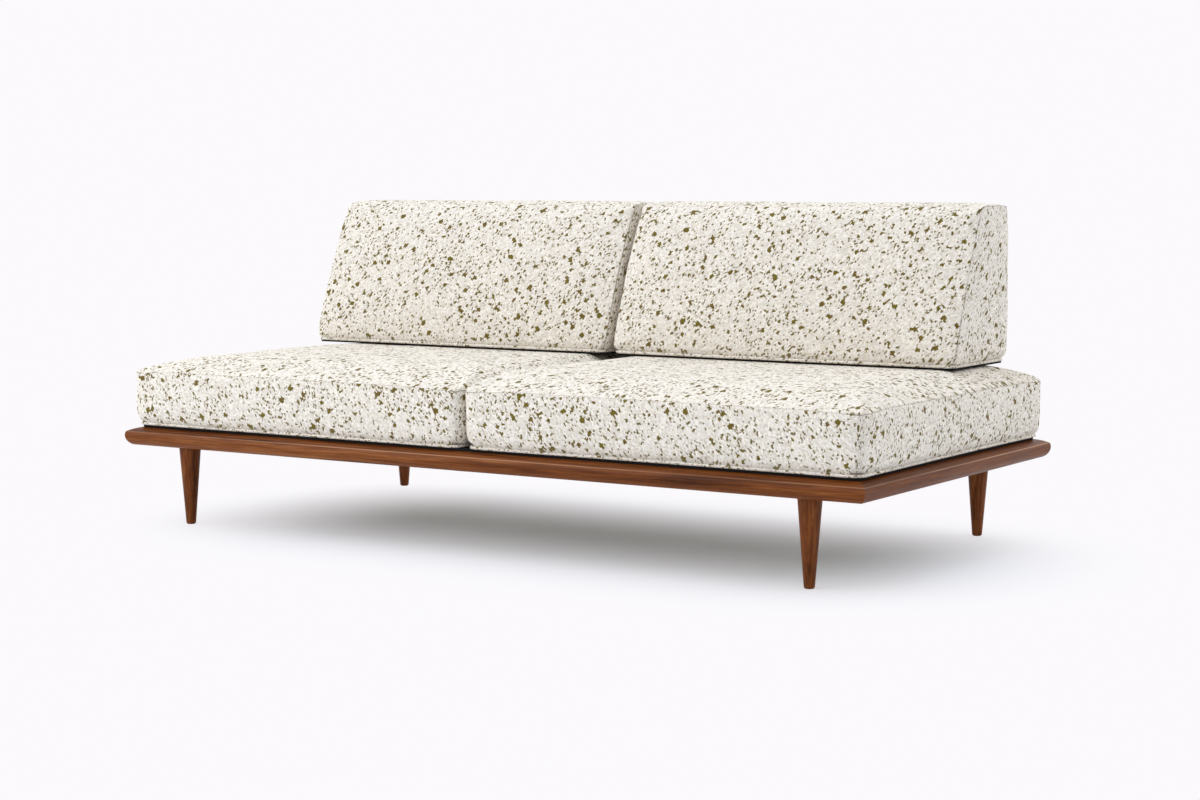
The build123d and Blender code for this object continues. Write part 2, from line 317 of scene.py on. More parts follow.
class Finish(Nodes):
    """A material round one Principled shader"""

    def __init__(self, name):
        self.material = bpy.data.materials.new(name)
        self.material.use_nodes = True
        super().__init__(self.material.node_tree)
        self.shader = self.tree.nodes["Principled BSDF"]

    def done(self, tone, roughness, normal=None, **constants):
        self.put(self.shader.inputs["Base Color"], tone)
        self.put(self.shader.inputs["Roughness"], roughness)
        if normal is not None:
            self.put(self.shader.inputs["Normal"], normal)
        for socket, value in constants.items():
            self.put(self.shader.inputs[socket.replace("_", " ")], value)
        return self.material


def flecked_weave(weave):
    """Cream weave of short slanted slubs; a slub is dyed as a whole, so flecks have broken edges.
    The pattern follows the cloth's own flat coordinates."""
    f = Finish("flecked_weave")
    cloth = f.node("UVMap", uv_map="cloth").outputs[0]
    stretch = (weave.slub_length, weave.slub_width, 1)
    slubs, draw = f.cells(f.turned(f.shaken(cloth, 130, 0.004), weave.slant, stretch), weave.yarn, 0.9)
    home = slubs["Position"]
    ragged = f.shaken(f.vector("MULTIPLY", home, stretch)[0], 150, 0.006)
    crowding = f.noise(home, 11)

    def crowded(sparse, dense):
        return f.fade(crowding, 0.35, 0.65, sparse, dense)

    blotted = f.spots(ragged, weave.blot, crowded(0.66, 0.36), 0.0030, 0.0066)
    flecked = f.spots(ragged, weave.fleck, crowded(0.68, 0.38), 0.0016, 0.0038)
    speck = f.math("LESS_THAN", draw[0], crowded(0.044, 0.098))
    dyed = f.math("MAXIMUM", f.math("MAXIMUM", blotted, flecked), f.math("MULTIPLY", speck, 0.92))
    dust = f.math("MULTIPLY", f.math("GREATER_THAN", draw[0], 0.80), 0.40)
    fibre = f.noise(cloth, 1100)

    sandy = f.mix(dust, weave.cream, weave.sand)
    dye = f.mix(f.fade(f.noise(home, 30, 1), 0.4, 0.6), weave.olive, weave.umber)
    shade = f.mix(f.total((draw[1], 0.65), (fibre, 0.35)), (0.70, 0.69, 0.675), (1.18, 1.18, 1.18))
    tone = f.mix(1.0, f.mix(dyed, sandy, dye), shade, "MULTIPLY")
    # Painted shade: the seam attribute darkens the cloth along the seams, on the foot roll above the welt and
    # on the welts' undersides
    seam = f.node("Attribute", attribute_name="seam").outputs["Fac"]
    tone = f.mix(f.math("MULTIPLY", seam, 0.45), tone, (0.30, 0.26, 0.20))
    relief = f.bump(f.total((f.fade(slubs["Distance"], 0.7, 0.0), 1.0), (fibre, 0.5)), 0.0005, 0.6)
    return f.done(tone, 0.93, relief, Sheen_Weight=0.05, Sheen_Roughness=0.5, Specular_IOR_Level=0.12)


def plain_weave(name, tone, pitch):
    """Fine woven tape or thread in one yarn, on object coordinates"""
    f = Finish(name)
    spot = f.spot()
    rib = f.fade(f.math("MULTIPLY", f.wave(f.part(spot, 0), pitch), f.wave(f.part(spot, 2), pitch)), -1, 1)
    shade = f.toned(f.math("MULTIPLY", rib, f.noise(spot, 1400)), tone, 0.7, 1.15)
    return f.done(shade, 0.85, f.bump(rib, 0.0003), Specular_IOR_Level=0.25)


def near_arris(f, spot):
    """Mask of the painted highlight: one along the arris of the rails, nothing elsewhere"""
    insets = [
        f.math("SUBTRACT", half - ARRIS[0], f.math("ABSOLUTE", f.part(spot, axis)))
        for axis, half in enumerate(RAIL_HALVES)
    ]
    rise = f.math("SUBTRACT", f.part(spot, 2), ARRIS[1])
    return f.fade(f.distance(f.math("MINIMUM", *insets), rise), 0.0008, 0.0022, 1.0, 0.0)


def drawn_out(grain, ratio):
    """Scale that draws a pattern out along the grain"""
    return tuple(ratio if axis == grain else 1.0 for axis in "xyz")


def walnut(name, grain, shift, tones, shade=0.0, rail=False):
    """Oiled walnut; grain is the axis along which the board was sawn; shade is a share of painted shade over
    the whole board, and a rail gets a painted highlight along its arris
    """
    f = Finish(name)
    spot = f.spot()
    board = f.turned(f.shaken(spot, 4, 0.016), 0, drawn_out(grain, 26.0), shift)
    figure = f.noise(board, 30, 3, 0.55, 0.4)
    rings = f.noise(board, 130, 3, 0.6, 0.2)
    fibres = f.turned(spot, 0, drawn_out(grain, 40.0), shift)
    streaks = f.noise(fibres, 320, 3, 0.6)
    pores = f.fade(f.noise(fibres, 800, 2, 0.6), 0.58, 0.70)
    mixed = f.total((figure, 0.34), (rings, 0.36), (streaks, 0.30))
    tone = f.ramp(mixed, [(0.37, tones.dark), (0.50, tones.middle), (0.64, tones.pale)])
    tone = f.mix(f.math("MULTIPLY", pores, 0.6), tone, tones.dark)
    # Painted shade: darkens the whole board by the share given
    tone = f.mix(shade, tone, tones.dark)
    # Painted highlight: a paler, uneven line along each rail's arris in place of a glint of light
    if rail:
        painted_glint = f.math("MULTIPLY", near_arris(f, spot), f.fade(figure, 0.35, 0.60, 0.25, 0.8))
        tone = f.mix(painted_glint, tone, tones.arris_highlight)
    rough = f.fade(streaks, 0.3, 0.7, tones.roughness - 0.06, tones.roughness + 0.10)
    relief = f.total((streaks, 0.4), (pores, -1.0))
    return f.done(tone, rough, f.bump(relief, 0.00008, 0.5), Specular_IOR_Level=0.12)


def pale_wood(name, tones, grain, ring_scale):
    """Plain pine or birch for the hidden carcase"""
    f = Finish(name)
    board = f.turned(f.shaken(f.spot(), 4, 0.03), 0, drawn_out(grain, 12.0))
    fibre = f.noise(board, ring_scale * 14)
    mixed = f.total((f.noise(board, ring_scale, 4, 0.55, 0.8), 0.72), (fibre, 0.28))
    tone = f.ramp(mixed, [(0.38, tones[0]), (0.62, tones[1])])
    return f.done(tone, 0.62, f.bump(fibre, 0.0001, 0.5), Specular_IOR_Level=0.35)


def felt(name, tone):
    """Needled felt"""
    f = Finish(name)
    hair = f.noise(f.shaken(f.spot(), 200, 0.01), 700, 4, 0.7)
    return f.done(f.toned(hair, tone, 0.5, 1.8), 1.0, f.bump(hair, 0.0008, 0.7), Specular_IOR_Level=0.1)


def nylon(name, tone):
    """Smooth moulded nylon"""
    return Finish(name).done(tone, 0.36, Specular_IOR_Level=0.4)


def plated_metal(name, tone, roughness):
    """Dull plated metal with fine scuffs"""
    f = Finish(name)
    scuff = f.noise(f.spot(), 420, 4, 0.65)
    rough = f.fade(scuff, 0.3, 0.7, roughness - 0.08, roughness + 0.12)
    return f.done(f.toned(scuff, tone, 0.8, 1.1), rough, f.bump(scuff, 0.00004, 0.5), Metallic=1.0)


def cover_weave(scene):
    """The covers' weave, made once and shared by the pieces that carry it"""
    return bpy.data.materials.get("flecked_weave") or flecked_weave(scene.sofa_weave)


# Cushion covers

def cuts(low, high, span, step):
    """Mesh cuts along one direction: fine ones near each end, even ones between"""
    inner = span - low[-1] - high[-1]
    count = max(1, round(inner / step))
    even = [low[-1] + inner * i / count for i in range(1, count)]
    return np.array([*low, *even, *(span - f for f in reversed(high))])


def lattice(xs, ys, zs):
    """Points of a box's skin, the grid of point numbers of each panel, and the grid of all numbers"""
    counts = (len(xs), len(ys), len(zs))
    steps = np.stack(np.meshgrid(*(np.arange(n) for n in counts), indexing="ij"), -1)
    skin = ((steps == 0) | (steps == np.array(counts) - 1)).any(-1)
    number = np.full(counts, -1)
    number[skin] = np.arange(skin.sum())
    flat = np.stack([xs[steps[..., 0]], ys[steps[..., 1]], zs[steps[..., 2]]], -1)[skin]
    panels = {
        "front": number[:, 0, :],
        "back": number[::-1, -1, :],
        "left": number[0, ::-1, :],
        "right": number[-1, :, :],
        "bottom": number[:, ::-1, 0],
        "top": number[:, :, -1],
    }
    return flat, panels, number


def quads_of(grid):
    return np.stack([grid[:-1, :-1], grid[1:, :-1], grid[1:, 1:], grid[:-1, 1:]], -1).reshape(-1, 4)


def ring_of(grid):
    """Point numbers round the edge of a panel's grid, in order"""
    return np.concatenate([grid[:-1, 0], grid[-1, :-1], grid[:0:-1, -1], grid[0, :0:-1]])


def mesh_piece(name, points, faces, material, cloth=None):
    """A smooth mesh object; cloth holds a flat coordinate for each corner of each face"""
    mesh = bpy.data.meshes.new(name)
    mesh.from_pydata(np.asarray(points).tolist(), [], [list(map(int, face)) for face in faces])
    if cloth is not None:
        layer = mesh.uv_layers.new(name="cloth")
        layer.uv.foreach_set("vector", np.asarray(cloth, np.float32).ravel())
    mesh.polygons.foreach_set("use_smooth", np.ones(len(mesh.polygons), bool))
    mesh.materials.append(material)
    piece = bpy.data.objects.new(name, mesh)
    bpy.context.scene.collection.objects.link(piece)
    return piece


def vectors_of(collection, fact):
    found = np.zeros(len(collection) * 3, np.float32)
    collection.foreach_get(fact, found)
    return found.reshape(-1, 3).astype(float)


def coordinates(mesh):
    return vectors_of(mesh.vertices, "co")


def normals(mesh):
    return vectors_of(mesh.vertex_normals, "vector")


def move_points(mesh, points):
    mesh.vertices.foreach_set("co", np.asarray(points, np.float32).ravel())
    mesh.update()


def foot_inset(z, bent, sewing):
    """How far the cover lies in behind its welt at a height above the foot, further at the upright corners"""
    cornered = 1 + sewing.corner_tuck * 2 * bent[:, 0] * bent[:, 1]
    rise = np.clip((z - sewing.welt) / (sewing.foot_roll * cornered), 0, 1)
    return sewing.welt * cornered * (1 - np.sqrt(1 - (1 - rise) ** 2))


def rounded(shares):
    """Square corners to round ones: each column says how far a point lies into that direction's rounding"""
    reach = np.linalg.norm(shares, axis=1)
    return shares * (shares.max(1) / np.where(reach > 0, reach, 1))[:, None]


def eased(rise):
    """A straight rise from nothing to one, made soft at both ends"""
    return rise * rise * (3 - 2 * rise)


def seat_shape(flat, span, seat, sewing, crown, outward, tucked=True):
    """Boxed cushion: round corners, sides that pull in, a crowned top and a foot tucked in behind the welt;
    outward is the sign of x towards the sofa's end"""
    half = np.array(span[:2]) / 2
    inner = half - seat.corner_round
    side = np.sign(flat[:, :2])
    bent = rounded(np.clip((np.abs(flat[:, :2]) - inner) / seat.corner_round, 0, 1))
    plan = np.minimum(np.abs(flat[:, :2]), inner) + bent * seat.corner_round
    along = plan / half
    plan -= seat.draw_in * (1 - along[:, ::-1] ** 2) * along
    z = flat[:, 2].copy()
    if tucked:
        plan *= 1 - foot_inset(z, bent, sewing)[:, None] / half
    edge = np.maximum(half - np.abs(flat[:, :2]), TINY)
    end_reach, back_reach = seat.crown_reach, seat.crown_reach
    if outward > 0:
        end_reach, back_reach = seat.firm_reach, seat.back_reach
    reach = np.column_stack([
        np.where(flat[:, 0] * outward > 0, end_reach, seat.inner_reach),
        np.where(flat[:, 1] > 0, back_reach, seat.crown_reach),
    ])
    inward = np.clip(((edge / reach) ** -3.0).sum(1) ** (-1 / 3), 0, 1)
    lift = crown * np.sqrt(1 - (1 - inward) ** 2)
    from_corner = np.linalg.norm(edge, axis=1)
    lower = seat.droop * np.exp(-(from_corner / seat.droop_reach) ** 2)
    if outward < 0:
        from_corner = np.linalg.norm(flat[:, :2] - half * (-1, 1), axis=1)
        lower += seat.slack * np.exp(-(from_corner / seat.slack_reach) ** 2)
    z -= lower * (flat[:, 2] / seat.seam_height) ** 2
    z += np.where(flat[:, 2] > seat.seam_height - TINY, lift, 0)
    return np.column_stack([plan * side, z])


# The roll along a bolster's top grows deeper from this far below the top, over this height
ROLL_START = 0.070
ROLL_RISE = 0.055
# How far a bolster's front stands out at the middle of its length
FRONT_BOW = 0.004


def bolster_depth(z, height, bolster):
    lean = (bolster.foot_depth - bolster.top_depth) * z / height
    return bolster.foot_depth - lean + bolster.front_swell * np.sin(np.pi * np.clip(z / height, 0, 1))


def bolster_shape(flat, span, bolster, sewing, tucked=True):
    """Wedge: upright back, leaning front, a soft roll along the top and small rounding at the ends"""
    half = span[0] / 2
    height = span[2]
    x, y, z = flat.T
    depth = bolster_depth(z, height, bolster)
    deep = y / span[1] * depth
    near_top = eased(np.clip((z - height + ROLL_START) / ROLL_RISE, 0, 1))
    reach = bolster.end_round + (bolster.top_reach - bolster.end_round) * near_top
    from_side = np.minimum(deep, depth - deep)
    shares = np.column_stack([
        np.clip((np.abs(x) - half + bolster.end_round) / bolster.end_round, 0, 1),
        np.clip((reach - from_side) / reach, 0, 1),
        np.clip((z - height + bolster.top_round) / bolster.top_round, 0, 1),
    ])
    bent = rounded(shares)
    x = np.sign(x) * (np.minimum(np.abs(x), half - bolster.end_round) + bent[:, 0] * bolster.end_round)
    z = np.minimum(z, height - bolster.top_round) + bent[:, 2] * bolster.top_round
    depth = bolster_depth(z, height, bolster)
    from_side = np.maximum(from_side, reach) - bent[:, 1] * reach
    deep = np.where(y < span[1] / 2, from_side, depth - from_side)
    if tucked:
        inset = foot_inset(z, bent, sewing)
        x *= 1 - inset / half
        deep = depth / 2 + (deep - depth / 2) * (1 - 2 * inset / depth)
    across = x / half
    x = x - bolster.draw_in * across * (1 - (2 * z / height - 1) ** 2) * (1 - (2 * deep / depth - 1) ** 2)
    deep = deep - FRONT_BOW * (1 - across ** 2) * (1 - deep / depth)
    return np.column_stack([x, deep - depth, z])


def ease_under(points, limits):
    """Eases points under limits, each with its axis, way, place and softness, instead of cutting them off"""
    for axis, way, limit, width in limits:
        points[:, axis] = way * (limit - width * np.logaddexp(0, (limit - way * points[:, axis]) / width))


# Number of the waves that make a cover uneven, and their shortest and longest
WAVES = 14
WAVE_LENGTHS = (0.14, 0.42)


def uneven(points, seed, size):
    """Smooth seeded unevenness over a cushion"""
    draw = np.random.default_rng(seed)
    total = np.zeros(len(points))
    for _ in range(WAVES):
        direction = draw.normal(size=3)
        direction *= FULL_TURN / draw.uniform(*WAVE_LENGTHS) / np.linalg.norm(direction)
        total += np.sin(points @ direction + draw.uniform(0, FULL_TURN))
    return size * total / math.sqrt(WAVES / 2)


def corner_caps(across, swell, sewing):
    """Most that each point may move, little near an upright corner, from its distances to the sides"""
    near = np.clip(np.linalg.norm(across, axis=1, keepdims=True) / sewing.corner_hold, 0, 1)
    return sewing.corner_swell + (swell - sewing.corner_swell) * eased(near)


CLOTH_FACTS = {
    "quality": 6,
    "mass": 0.35,
    "tension_stiffness": 24,
    "compression_stiffness": 24,
    "shear_stiffness": 12,
    "bending_stiffness": 1.2,
    "use_pressure": True,
    "vertex_group_mass": "held",
}


def swell_covers(covers, caps, sewing):
    """Swells the covers with Blender's cloth, held along seams and feet, and keeps the swollen shape"""
    scene = bpy.context.scene
    for cover in covers:
        cloth = cover.modifiers.new("filling", "CLOTH")
        for fact, value in CLOTH_FACTS.items():
            setattr(cloth.settings, fact, value)
        cloth.settings.uniform_pressure_force = sewing.pressure
        cloth.settings.effector_weights.gravity = 0
        cloth.collision_settings.use_collision = False
        cloth.point_cache.frame_start = 1
        cloth.point_cache.frame_end = sewing.frames
    for number in range(1, sewing.frames + 1):
        scene.frame_set(number)
    graph = bpy.context.evaluated_depsgraph_get()
    for cover, cap in zip(covers, caps):
        swollen = coordinates(cover.evaluated_get(graph).data)
        start = coordinates(cover.data)
        moved = swollen - start
        far = np.linalg.norm(moved, axis=1, keepdims=True)
        share_kept = np.tanh(far / cap) * cap / np.where(far > 0, far, 1)
        cover.modifiers.remove(cover.modifiers["filling"])
        move_points(cover.data, start + moved * share_kept)
    scene.frame_set(1)


def subdivide(cover):
    """One subdivision, applied"""
    smooth = cover.modifiers.new("smooth", "SUBSURF")
    smooth.levels = 1
    smooth.render_levels = 1
    graph = bpy.context.evaluated_depsgraph_get()
    shown = cover.evaluated_get(graph)
    finer = bpy.data.meshes.new_from_object(shown, preserve_all_data_layers=True, depsgraph=graph)
    cover.modifiers.remove(smooth)
    old = cover.data
    cover.data = finer
    bpy.data.meshes.remove(old)


def mark_points(piece, draw_and_shade):
    """Writes how strongly each point is drawn in by a seam and darkened with painted shade"""
    piece.data.attributes.new("seam", "FLOAT", "POINT").data.foreach_set("value", draw_and_shade.astype(np.float32))


# Mesh cuts in from the edges of the panels
EDGE_CUTS = (0, 0.0012, 0.0036, 0.0066, 0.0118, 0.0162, 0.0202, 0.024, 0.034, 0.048)
FOOT_CUTS = (0, 0.0035, 0.007, 0.0085, 0.011, 0.015, 0.021)
SEAM_CUTS = (0, 0.0022, 0.0055, 0.011)
END_CUTS = (0, 0.0020, 0.0045, 0.0075, 0.011, 0.018)
DEPTH_CUTS = (0, 0.0025, 0.0060, 0.011, 0.017, 0.024, 0.032)
TOP_CUTS = (0, 0.0030, 0.0080, 0.014, 0.020, 0.026, 0.034)

# How strongly points are marked, which draws them in and darkens them with painted shade of the creases: by
# the number of the cut above the foot, and along the sewn seams
FOOT_DRAW_AND_SHADE = {2: 0.9, 3: 0.45, 4: 0.32, 5: 0.16}
SEAT_SEAM_DRAW_AND_SHADE = 0.4
BOLSTER_SEAM_DRAW_AND_SHADE = 1.0

# How far filled covers stay within their CAD box or pass it, and how softly they stop there
CLEARANCE = 0.0002
SEAT_BULGE = 0.0008
BOLSTER_BULGE = 0.002
TOP_EASE = 0.0015
SIDE_EASE = 0.0008

# Where on the cloth each cover is cut, and its panels that don't join on to the front; random draws' starts
CLOTH_PLACES = {
    "seat_left": (0.31, 0.17),
    "seat_right": (2.43, 1.29),
    "bolster_left": (7.11, 0.63),
    "bolster_right": (9.37, 2.21),
}
SEAT_TOP = (3.1, 1.7)
SEAT_BOTTOM = (5.3, 1.7)
BOLSTER_ENDS = {"right": 3.3, "left": 5.3}
SEEDS = {"seat": 11, "bolster": 31, "welt": 71}


def sew_cover(name, points, panels, number, developed, seams, seam_draw_and_shade, weave):
    """A cover of six panels, laid out flat by developed, that is held along its seams and under its foot"""
    quads = {panel: quads_of(grid) for panel, grid in panels.items()}
    cloth = [np.column_stack(developed[panel])[faces.ravel()] for panel, faces in quads.items()]
    cloth = np.concatenate(cloth) + np.array(CLOTH_PLACES[name])
    cover = mesh_piece(f"{name}_filled", points, np.concatenate([*quads.values()]), weave, cloth)
    sewn = np.concatenate(seams)
    held = np.union1d(sewn, panels["bottom"].ravel())
    cover.vertex_groups.new(name="held").add(held.tolist(), 1.0, "REPLACE")
    # Painted shade and drawing in: on the foot roll by its cuts, and along the sewn seams
    draw_and_shade = np.zeros(len(points))
    for cut, strength in FOOT_DRAW_AND_SHADE.items():
        draw_and_shade[ring_of(number[:, :, cut])] = strength
    draw_and_shade[sewn] = seam_draw_and_shade
    mark_points(cover, draw_and_shade)
    return cover


def draw_seams_in(cover, depth):
    """Pulls the seams in along the cover's normals"""
    draw_and_shade = np.zeros(len(cover.data.vertices), np.float32)
    cover.data.attributes["seam"].data.foreach_get("value", draw_and_shade)
    points = coordinates(cover.data) - normals(cover.data) * (depth * draw_and_shade ** 1.5)[:, None]
    move_points(cover.data, points)


# Seam lines of the settled covers and the way they face, for the stitches
SEAMS = {}


def settle_cover(name, cover, home, seams, limits, sewing, seed):
    """Unevenness, limits, subdivision and seams of a filled cover, which then takes its CAD nodes' place"""
    mesh = cover.data
    held = np.zeros(len(mesh.vertices), bool)
    held[[v.index for v in mesh.vertices if v.groups]] = True
    points = coordinates(mesh)
    bumps = np.where(held, 0, uneven(points, seed, sewing.unevenness))
    points += normals(mesh) * bumps[:, None]
    ease_under(points, limits)
    move_points(mesh, points)
    subdivide(cover)
    draw_seams_in(cover, sewing.groove)
    cover.vertex_groups.clear()
    move_points(cover.data, coordinates(cover.data) + np.array(home))
    place_now = coordinates(cover.data)
    facing = normals(cover.data)
    SEAMS[name] = [(place_now[seam], facing[seam]) for seam in seams]
    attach(cover, f"{name}_cushion")
    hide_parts(f"{name}_cover", f"{name}_core")


def fill_cushions(cushions, sewing, seed):
    """Swells the covers of like cushions and settles each in its place"""
    _, covers, _, _, caps, _ = zip(*cushions)
    swell_covers(covers, caps, sewing)
    for number, (name, cover, home, seams, _, limits) in enumerate(cushions):
        settle_cover(name, cover, home, seams, limits, sewing, seed + number)


def node_home(node):
    """Middle of a node's foot, and its spans"""
    low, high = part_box(node)
    return Vector(((low.x + high.x) / 2, (low.y + high.y) / 2, low.z)), high - low


def seat_plan(name, sewing):
    """Home, spans and level mesh cuts of a seat cushion"""
    home, span = node_home(f"{name}_cover")
    return home, span, *(cuts(EDGE_CUTS, EDGE_CUTS, side, sewing.step) - side / 2 for side in span[:2])


def bolster_plan(name, bolster, sewing):
    """The same of a bolster: its home lies at its back, and its depth is the mean one"""
    home, span = node_home(f"{name}_cover")
    home.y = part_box(f"{name}_cover")[1].y
    span.y = (bolster.foot_depth + bolster.top_depth) / 2
    xs = cuts(END_CUTS, END_CUTS, span.x, sewing.step) - span.x / 2
    return home, span, xs, cuts(DEPTH_CUTS, DEPTH_CUTS, span.y, sewing.step)


class SOFA_OT_seat_cushions(bpy.types.Operator):
    """Sews and fills the two boxed seat cushions"""

    bl_idname = "sofa.seat_cushions"
    bl_label = "Seat cushions"

    def execute(self, context):
        seat = context.scene.sofa_seat
        sewing = context.scene.sofa_sewing
        weave = cover_weave(context.scene)
        cushions = []
        for side, outward in OUTWARD.items():
            name = f"seat_{side}"
            home, span, xs, ys = seat_plan(name, sewing)
            zs = cuts(FOOT_CUTS, SEAM_CUTS, seat.seam_height, sewing.step)
            flat, panels, number = lattice(xs, ys, zs)
            crown = span.z - seat.seam_height - seat.settle
            points = seat_shape(flat, span, seat, sewing, crown, outward)
            half = np.array(span[:2]) / 2
            x, y, z = flat.T
            developed = {
                "front": (-x, z),
                "right": (half.sum() + y, z),
                "left": (-half.sum() - y, z),
                "back": (2 * half.sum() - x, z),
                "top": (SEAT_TOP[0] + x, SEAT_TOP[1] + y),
                "bottom": (SEAT_BOTTOM[0] + x, SEAT_BOTTOM[1] - y),
            }
            seams = [ring_of(panels["top"])]
            cover = sew_cover(name, points, panels, number, developed, seams, SEAT_SEAM_DRAW_AND_SHADE, weave)
            caps = corner_caps(half - np.abs(flat[:, :2]), seat.swell, sewing)
            limits = (
                (2, 1, span.z - CLEARANCE, TOP_EASE),
                (1, 1, span.y / 2 - CLEARANCE, SIDE_EASE),
                (0, -outward, span.x / 2 + SEAT_BULGE, SIDE_EASE),
            )
            cushions.append((name, cover, home, seams, caps, limits))
        fill_cushions(cushions, sewing, SEEDS["seat"])
        return {"FINISHED"}


class SOFA_OT_bolsters(bpy.types.Operator):
    """Sews and fills the two wedge bolsters"""

    bl_idname = "sofa.bolsters"
    bl_label = "Bolsters"

    def execute(self, context):
        bolster = context.scene.sofa_bolster
        sewing = context.scene.sofa_sewing
        weave = cover_weave(context.scene)
        cushions = []
        for side in SIDES:
            name = f"bolster_{side}"
            home, span, xs, ys = bolster_plan(name, bolster, sewing)
            flat, panels, number = lattice(xs, ys, cuts(FOOT_CUTS, TOP_CUTS, span.z, sewing.step))
            points = bolster_shape(flat, span, bolster, sewing)
            x, y, z = flat.T
            slant = math.hypot(span.z, bolster.foot_depth - bolster.top_depth)
            depth = bolster_depth(z, span.z, bolster) / span.y * y
            developed = {
                "front": (x, z * slant / span.z),
                "top": (x, slant + y),
                "back": (x, slant + span.y + span.z - z),
                "bottom": (x, -depth),
                "right": (BOLSTER_ENDS["right"] + depth, z),
                "left": (BOLSTER_ENDS["left"] - depth, z),
            }
            seams = [ring_of(panels["left"]), ring_of(panels["right"])]
            cover = sew_cover(name, points, panels, number, developed, seams, BOLSTER_SEAM_DRAW_AND_SHADE, weave)
            across = np.column_stack([span.x / 2 - np.abs(x), np.minimum(y, span.y - y)])
            ends = [(0, way, span.x / 2 + BOLSTER_BULGE, SIDE_EASE) for way in OUTWARD.values()]
            limits = ((2, 1, span.z + BOLSTER_BULGE, TOP_EASE), (1, 1, -CLEARANCE, SIDE_EASE), *ends)
            caps = corner_caps(across, bolster.swell, sewing)
            cushions.append((name, cover, home, seams, caps, limits))
        fill_cushions(cushions, sewing, SEEDS["bolster"])
        return {"FINISHED"}


# Frame

RAIL_GRAIN = {"front": "x", "rear": "x", "left": "y", "right": "y"}
# Where in the wood the rails and the legs are cut: a start and the step to the next
RAIL_CUTS = ((0.9, 0.3, 0.2), (1.7, 0.9, 0.4))
LEG_CUTS = ((0.37, 0.71, 0.5), (0.37, 0.71, 0.0))


def cut_place(number, start, step):
    return tuple(a + number * b for a, b in zip(start, step))


class SOFA_OT_frame_finish(bpy.types.Operator):
    """Gives the wooden frame, deck, felt and fixings their finishes"""

    bl_idname = "sofa.frame_finish"
    bl_label = "Frame finishes"

    def execute(self, context):
        tones = context.scene.sofa_walnut
        wear = {}
        for number, (rail, grain) in enumerate(RAIL_GRAIN.items()):
            shift = cut_place(number, *RAIL_CUTS)
            # Painted shade on the end rails, which face away from the light
            shade = tones.end_rail_painted_shade if grain == "y" else 0.0
            wear[f"{rail}_rail"] = walnut(f"walnut_{rail}_rail", grain, shift, tones, shade, rail=True)
        legs = [f"leg_{end}_{side}" for end in ("front", "rear") for side in SIDES]
        for number, leg in enumerate(legs):
            wear[leg] = walnut(f"walnut_{leg}", "z", cut_place(number, *LEG_CUTS), tones)
        pine = pale_wood("planed_pine", ((0.50, 0.36, 0.22), (0.68, 0.54, 0.37)), "y", 30)
        birch = pale_wood("birch_plywood", ((0.56, 0.45, 0.32), (0.72, 0.61, 0.47)), "x", 12)
        zinc = plated_metal("zinc_plate", (0.62, 0.63, 0.65), 0.38)
        black = felt("black_felt", (0.012, 0.012, 0.013))
        nickel = plated_metal("dull_nickel", (0.55, 0.53, 0.50), 0.30)
        shared = (
            (pine, [f"cross_bearer_{bearer}" for bearer in ("left", "middle", "right")]),
            (birch, ["deck_panel_left", "deck_panel_right", "mitre_splines"]),
            (zinc, ["deck_screws", "hanger_bolts", "threaded_inserts"]),
            (black, ["deck_felt", "bolster_left_grip", "bolster_right_grip"]),
            (nickel, [f"{name}_zip_slider" for name in CUSHIONS]),
        )
        for material, nodes in shared:
            wear.update(dict.fromkeys(nodes, material))
        for node, material in wear.items():
            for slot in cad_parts[node].material_slots:
                slot.material = material
        return {"FINISHED"}


# Welts, stitches and zips

def unit(vectors):
    return vectors / np.linalg.norm(vectors, axis=-1, keepdims=True)


def ahead_of(ring):
    """Directions along a closed path"""
    return unit(np.roll(ring, -1, 0) - np.roll(ring, 1, 0))


def way_along(ring):
    """Distances along a closed path, up to its start again"""
    steps = np.linalg.norm(np.diff(np.vstack([ring, ring[:1]]), axis=0), axis=1)
    return np.concatenate([[0], np.cumsum(steps)])


def rings_round(path, out, lift, radius, sides):
    """A ring of points round each point of a path, in the plane of out and lift"""
    turns = FULL_TURN * np.arange(sides)[:, None] / sides
    around = np.cos(turns) * out[..., None, :] + np.sin(turns) * lift[..., None, :]
    return path[..., None, :] + np.asarray(radius)[..., None, None] * around


def tube(path, radius, sides):
    """Points, faces and flat coordinates of a round tube along a level closed path"""
    ahead = ahead_of(path)
    out = unit(np.cross(ahead, (0, 0, 1.0)))
    rings = rings_round(path, out, np.cross(out, ahead), radius, sides)
    grid = np.arange(len(path) * sides).reshape(-1, sides)
    girth = radius[:, None] * FULL_TURN * np.arange(sides + 1) / sides
    along = np.repeat(way_along(path)[:, None], sides, 1)
    start, end, low, high = along[:-1], along[1:], girth[:, :-1], girth[:, 1:]
    cloth = np.stack([start, low, end, low, end, high, start, high], -1).reshape(-1, 2)
    return rings.reshape(-1, 3), quads_of(np.pad(grid, (0, 1), "wrap")), cloth


def capped_tubes(rings):
    """Points and faces of closed tubes, one for each row of rings"""
    sides = rings.shape[2]
    faces = []
    for grid in np.arange(rings[..., 0].size).reshape(rings.shape[:3]):
        faces += quads_of(grid[:, [*range(sides), 0]]).tolist()
        faces += [grid[0].tolist(), grid[-1, ::-1].tolist()]
    return rings.reshape(-1, 3).tolist(), faces


def joined(meshes):
    """Points and faces of several meshes as one"""
    points = []
    faces = []
    for made, linked in meshes:
        faces += [[number + len(points) for number in face] for face in linked]
        points += made
    return points, faces


def even_path(points, pitch):
    """A closed path resampled at even steps near the pitch"""
    ring = np.vstack([points, points[:1]])
    along = way_along(points)
    count = max(3, round(along[-1] / pitch))
    spots = np.arange(count) * along[-1] / count
    return np.column_stack([np.interp(spots, along, column) for column in ring.T])


